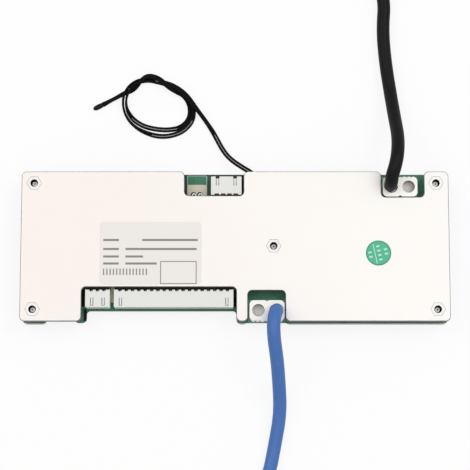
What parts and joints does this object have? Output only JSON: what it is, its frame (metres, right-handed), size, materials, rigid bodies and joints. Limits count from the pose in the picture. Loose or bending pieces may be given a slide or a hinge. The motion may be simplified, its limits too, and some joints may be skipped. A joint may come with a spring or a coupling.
{
  "type": "battery management board",
  "caption": "Circuit board between a white heat-spreading plate and a back plate, with side-entry headers, solder-cup terminals, power leads and a coiled temperature sensor.",
  "frame": {"origin": "middle of the back plate's underside, on the surface that the part rests on", "axes": "+X along the length towards the power transistors, +Y towards the edge with the communication header, +Z out of the front plate"},
  "size_m": [0.17, 0.2542, 0.024],
  "materials": {
    "front_aluminium": "pale satin, anodised",
    "back_aluminium": "satin, rolled",
    "insulating_film": "matt film",
    "board_laminate": "green solder mask on glass laminate",
    "steel": "zinc plated",
    "spacer_nylon": "moulded",
    "header_nylon": "moulded, slightly glossy",
    "pin_metal": "tin plated",
    "terminal_metal": "tin plated",
    "copper_strand": "tinned strands",
    "solder": "cooled solder",
    "black_insulation": "smooth silicone",
    "blue_insulation": "smooth silicone",
    "sensor_insulation": "thin twin lead",
    "bead_epoxy": "dipped epoxy",
    "label_film": "printed film, left blank",
    "green_sticker": "round sticker",
    "package_black": "moulded",
    "package_metal": "tin plated",
    "heat_pad": "soft pad",
    "shunt_metal": "resistance alloy",
    "capacitor_ceramic": "ceramic"
  },
  "bodies": {
    "root": {"front_plate": "front_aluminium", "back_plate": "back_aluminium", "insulating_sheet": "insulating_film", "circuit_board": "board_laminate", "plate_standoffs": "steel", "board_screws": "steel", "back_spacers": "spacer_nylon", "long_sense_header": "header_nylon", "long_sense_pins": "pin_metal", "short_sense_header": "header_nylon", "short_sense_pins": "pin_metal", "comm_header": "header_nylon", "comm_pins": "pin_metal", "upper_terminal": "terminal_metal", "lower_terminal": "terminal_metal", "black_lead_core": "copper_strand", "blue_lead_core": "copper_strand", "black_lead_solder": "solder", "blue_lead_solder": "solder", "black_lead": "black_insulation", "blue_lead": "blue_insulation", "black_lead_tinned_end": "copper_strand", "blue_lead_tinned_end": "copper_strand", "sensor_solder": "solder", "sensor_lead": "sensor_insulation", "sensor_coil": "sensor_insulation", "sensor_tail": "sensor_insulation", "sensor_bead": "bead_epoxy", "front_label": "label_film", "inspection_sticker": "green_sticker", "transistor_bodies": "package_black", "transistor_metal": "package_metal", "heat_pads": "heat_pad", "shunt_resistors": "shunt_metal", "controller_chip": "package_black", "cell_monitor_chips": "package_black", "regulator_chip": "package_black", "balance_resistors": "package_black", "filter_capacitors": "capacitor_ceramic"}
  },
  "joints": []
}
